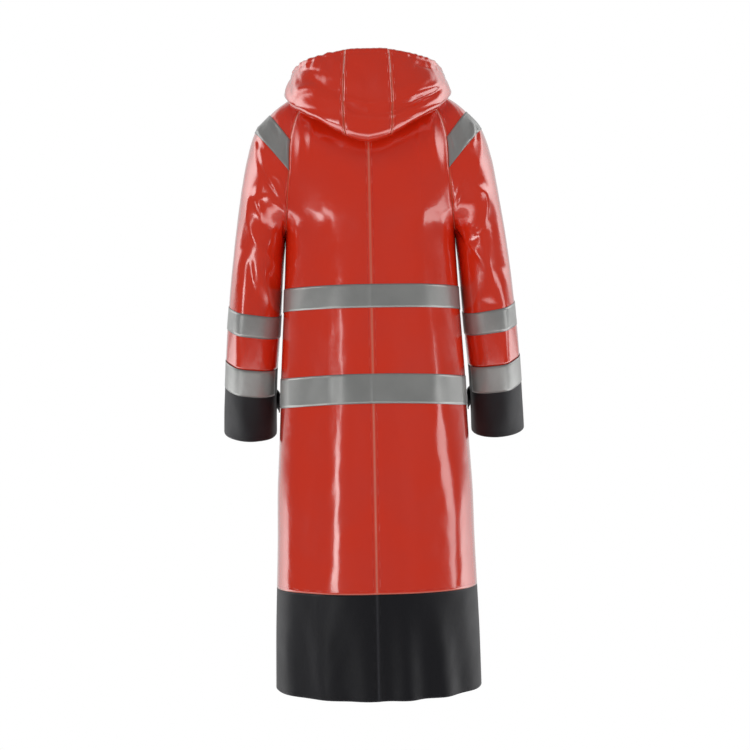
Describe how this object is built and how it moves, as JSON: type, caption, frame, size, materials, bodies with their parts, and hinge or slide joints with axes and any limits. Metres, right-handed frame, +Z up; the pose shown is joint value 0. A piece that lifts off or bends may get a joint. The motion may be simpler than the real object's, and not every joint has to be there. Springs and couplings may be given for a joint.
{
  "type": "long hooded raincoat",
  "caption": "Long hooded raincoat in worn, hollow form, hood thrown back, with reflective tapes, dark cuffs and a dark hem band; open at neck, cuffs and hem.",
  "frame": {"origin": "middle of the neck opening, where the wearer's neck and shoulders carry the coat", "axes": "+Z up towards the hood, -Y to the front, +X to the wearer's left arm"},
  "size_m": [0.67, 0.378, 1.3611],
  "materials": {
    "red_coated_cloth": "glossy smooth coated cloth, signal red",
    "black_coated_cloth": "dull black coated cloth",
    "reflective_tape": "grey bead-coated reflective tape, satin",
    "stud_metal": "satin nickel-plated caps"
  },
  "bodies": {
    "root": {"back_left": "red_coated_cloth", "back_right": "red_coated_cloth", "front_left": "red_coated_cloth", "front_right": "red_coated_cloth", "hem_band_back_left": "black_coated_cloth", "hem_band_back_right": "black_coated_cloth", "hem_band_front_left": "black_coated_cloth", "hem_band_front_right": "black_coated_cloth", "vent_underlap": "red_coated_cloth", "sleeve_left": "red_coated_cloth", "sleeve_right": "red_coated_cloth", "cuff_left": "black_coated_cloth", "cuff_right": "black_coated_cloth", "cuff_tab_left": "black_coated_cloth", "cuff_tab_right": "black_coated_cloth", "hood_centre": "red_coated_cloth", "hood_side_left": "red_coated_cloth", "hood_side_right": "red_coated_cloth", "neck_band": "red_coated_cloth", "storm_flap": "red_coated_cloth", "waist_tape_upper": "reflective_tape", "waist_tape_lower": "reflective_tape", "flap_tape_upper": "reflective_tape", "flap_tape_lower": "reflective_tape", "sleeve_tape_upper_left": "reflective_tape", "sleeve_tape_upper_right": "reflective_tape", "sleeve_tape_lower_left": "reflective_tape", "sleeve_tape_lower_right": "reflective_tape", "shoulder_tape_left": "reflective_tape", "shoulder_tape_right": "reflective_tape", "press_stud_1": "stud_metal", "press_stud_2": "stud_metal", "press_stud_3": "stud_metal", "press_stud_4": "stud_metal", "press_stud_5": "stud_metal", "press_stud_6": "stud_metal", "press_stud_7": "stud_metal"}
  },
  "joints": []
}
